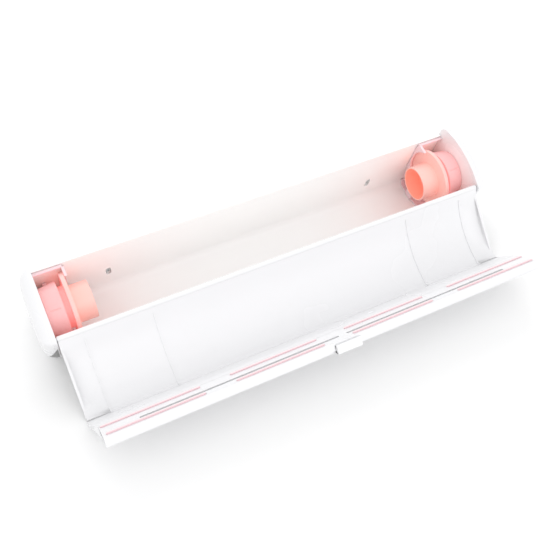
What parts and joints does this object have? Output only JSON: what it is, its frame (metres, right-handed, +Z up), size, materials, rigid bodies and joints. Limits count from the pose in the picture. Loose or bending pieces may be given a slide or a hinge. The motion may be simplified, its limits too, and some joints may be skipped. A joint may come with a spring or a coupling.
{
  "type": "cling film dispenser",
  "caption": "Kitchen dispenser for a roll of cling film: a long trough with domed ends, drop-in roll holders and a hinged lid whose sprung edge grips the film beside toothed blades.",
  "frame": {"origin": "centre of the overall box on the surface that the open dispenser stands on", "axes": "+X along the dispenser's length, +Y from the open lid to the trough, +Z up"},
  "size_m": [0.3656, 0.1762, 0.074],
  "materials": {
    "white_plastic": "gloss",
    "pink_plastic": "satin",
    "pink_rubber": "soft",
    "steel": "bright"
  },
  "bodies": {
    "case": {"body_shell": "white_plastic", "end_cap_left": "white_plastic", "end_cap_right": "white_plastic", "cradle_left": "white_plastic", "cradle_right": "white_plastic", "hinge_pin_left": "steel", "hinge_pin_right": "steel"},
    "lid": {"lid_shell": "white_plastic", "thumb_tab": "white_plastic", "cutter_blade_left": "steel", "cutter_blade_right": "steel", "bar_spring_left_1": "steel", "bar_spring_left_2": "steel", "bar_spring_right_1": "steel", "bar_spring_right_2": "steel"},
    "edge": {"press_bar": "white_plastic", "upper_grip_1": "pink_rubber", "upper_grip_2": "pink_rubber", "upper_grip_3": "pink_rubber", "upper_grip_4": "pink_rubber", "lower_grip_1": "pink_rubber", "lower_grip_2": "pink_rubber", "lower_grip_3": "pink_rubber", "lower_grip_4": "pink_rubber"},
    "left_holder": {"roll_holder_left": "pink_plastic"},
    "right_holder": {"roll_holder_right": "pink_plastic"}
  },
  "joints": [
    {"name": "lid_hinge", "type": "hinge", "parent": "case", "child": "lid", "pos_m": [0, 0.00216, 0.04729], "axis": [-1, 0, 0], "range_deg": [0, 200]},
    {"name": "press_bar_slide", "type": "slide", "parent": "lid", "child": "edge", "axis": [0, -0.5251, -0.851], "range_m": [0, 0.002], "stiffness_N_per_m": 2000, "springref_m": -0.001, "deforming": ["bar_spring_left_1", "bar_spring_left_2", "bar_spring_right_1", "bar_spring_right_2"]},
    {"name": "left_holder_spin", "type": "hinge", "parent": "case", "child": "left_holder", "pos_m": [-0.172, 0.03745, 0.03869], "axis": [1, 0, 0], "continuous": true},
    {"name": "right_holder_spin", "type": "hinge", "parent": "case", "child": "right_holder", "pos_m": [0.172, 0.03745, 0.03869], "axis": [1, 0, 0], "continuous": true}
  ]
}
